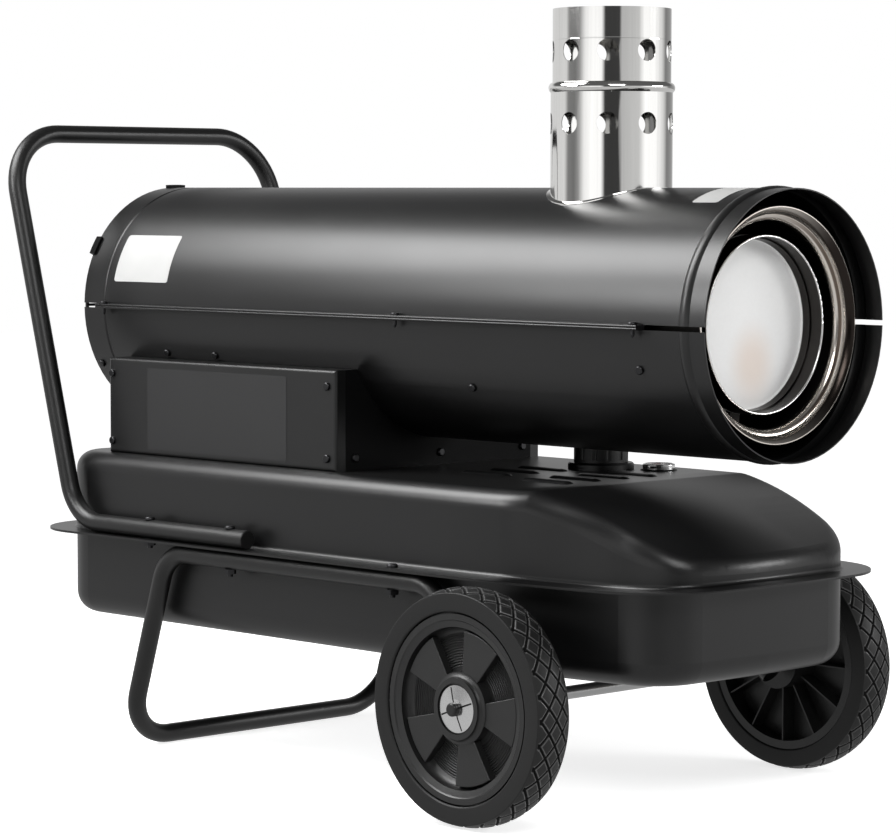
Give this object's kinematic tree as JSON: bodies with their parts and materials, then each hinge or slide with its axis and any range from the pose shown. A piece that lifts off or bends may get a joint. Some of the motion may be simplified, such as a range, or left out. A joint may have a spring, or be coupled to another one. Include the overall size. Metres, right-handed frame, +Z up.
{
  "type": "forced air heater",
  "caption": "Wheeled oil-fired space heater: round black casing with a bright flue on a flanged fuel tank, with a tube handle, frame and foot bar.",
  "frame": {"origin": "on the floor below the middle of the overall box", "axes": "+X the way the hot air leaves, +Y to the left side with the controls, +Z up"},
  "size_m": [1, 0.5312, 0.786],
  "materials": {
    "black_paint": "satin black powder coat",
    "black_screws": "black oxide",
    "polished_stainless": "mirror polish",
    "tinted_steel": "heat-tinted stainless steel",
    "drum_steel": "matt stainless steel",
    "liner_steel": "zinc-coated steel",
    "turned_brass": "turned",
    "copper_pipe": "drawn copper",
    "motor_grey": "satin grey paint",
    "bright_steel": "drawn bar",
    "zinc_plate": "bright zinc",
    "fan_alloy": "as pressed",
    "black_plastic": "fine grain",
    "rocker_red": "smooth",
    "board_green": "solder resist",
    "gauge_chrome": "polished",
    "gauge_glass": "clear",
    "pointer_red": "smooth",
    "rim_plastic": "moulded, fine grain",
    "tyre_rubber": "matt rubber"
  },
  "bodies": {
    "chassis": {"axle": "bright_steel", "axle_sleeves": "liner_steel", "box_screws": "black_screws", "box_tray": "black_paint", "burner_tube": "liner_steel", "casing_screws": "black_screws", "combustion_drum": "drum_steel", "control_board": "board_green", "cord_gland": "black_plastic", "delivery_pipe": "copper_pipe", "drain_plug": "turned_brass", "drum_brackets": "drum_steel", "electrodes": "liner_steel", "filler_neck": "black_paint", "flue_pipe": "polished_stainless", "flue_stub": "polished_stainless", "frame_tube": "black_paint", "fuel_pump": "motor_grey", "fuel_strainer": "liner_steel", "gauge_bezel": "gauge_chrome", "gauge_lens": "gauge_glass", "guard_hooks": "black_paint", "handle_plugs": "black_plastic", "handle_tube": "black_paint", "ignition_transformer": "black_plastic", "inner_liner": "liner_steel", "left_hub_plate": "zinc_plate", "left_side_cover": "black_paint", "liner_standoffs": "liner_steel", "lower_shell": "black_paint", "motor": "motor_grey", "motor_shelf": "black_paint", "nozzle_holder": "turned_brass", "outlet_ring": "tinted_steel", "rear_guard": "black_paint", "right_hub_plate": "zinc_plate", "right_side_cover": "black_paint", "rocker_frame": "black_plastic", "seam_screws": "black_screws", "suction_pipe": "copper_pipe", "swirl_disc": "liner_steel", "tank_lower": "black_paint", "tank_upper": "black_paint", "tube_bolts": "black_screws", "tube_nuts": "black_screws", "upper_shell": "black_paint"},
    "left_wheel": {"left_wheel_rim": "rim_plastic", "left_tyre": "tyre_rubber"},
    "right_wheel": {"right_wheel_rim": "rim_plastic", "right_tyre": "tyre_rubber"},
    "fan_rotor": {"fan": "fan_alloy", "motor_shaft": "bright_steel"},
    "cap": {"filler_cap": "black_plastic"},
    "knob": {"thermostat_knob": "black_plastic"},
    "rocker": {"power_rocker": "rocker_red"},
    "pointer": {"gauge_pointer": "pointer_red"}
  },
  "joints": [
    {"name": "left_wheel_spin", "type": "hinge", "parent": "chassis", "child": "left_wheel", "pos_m": [0.302, 0, 0.115], "axis": [0, 1, 0], "continuous": true},
    {"name": "right_wheel_spin", "type": "hinge", "parent": "chassis", "child": "right_wheel", "pos_m": [0.302, 0, 0.115], "axis": [0, 1, 0], "continuous": true},
    {"name": "fan_spin", "type": "hinge", "parent": "chassis", "child": "fan_rotor", "pos_m": [-0.365, 0, 0.477], "axis": [1, 0, 0], "continuous": true},
    {"name": "filler_cap_turn", "type": "hinge", "parent": "chassis", "child": "cap", "pos_m": [0.168, 0.084, 0.3305], "axis": [0, 0, 1], "range_deg": [0, 90]},
    {"name": "thermostat_turn", "type": "hinge", "parent": "chassis", "child": "knob", "pos_m": [-0.106, 0.15, 0.3765], "axis": [0, 1, 0], "range_deg": [0, 270]},
    {"name": "power_rock", "type": "hinge", "parent": "chassis", "child": "rocker", "pos_m": [-0.048, 0.143, 0.3765], "axis": [1, 0, 0], "range_deg": [-9, 0]},
    {"name": "gauge_turn", "type": "hinge", "parent": "chassis", "child": "pointer", "pos_m": [0.222, 0.114, 0.3205], "axis": [0, 0, 1], "range_deg": [0, 120]}
  ]
}
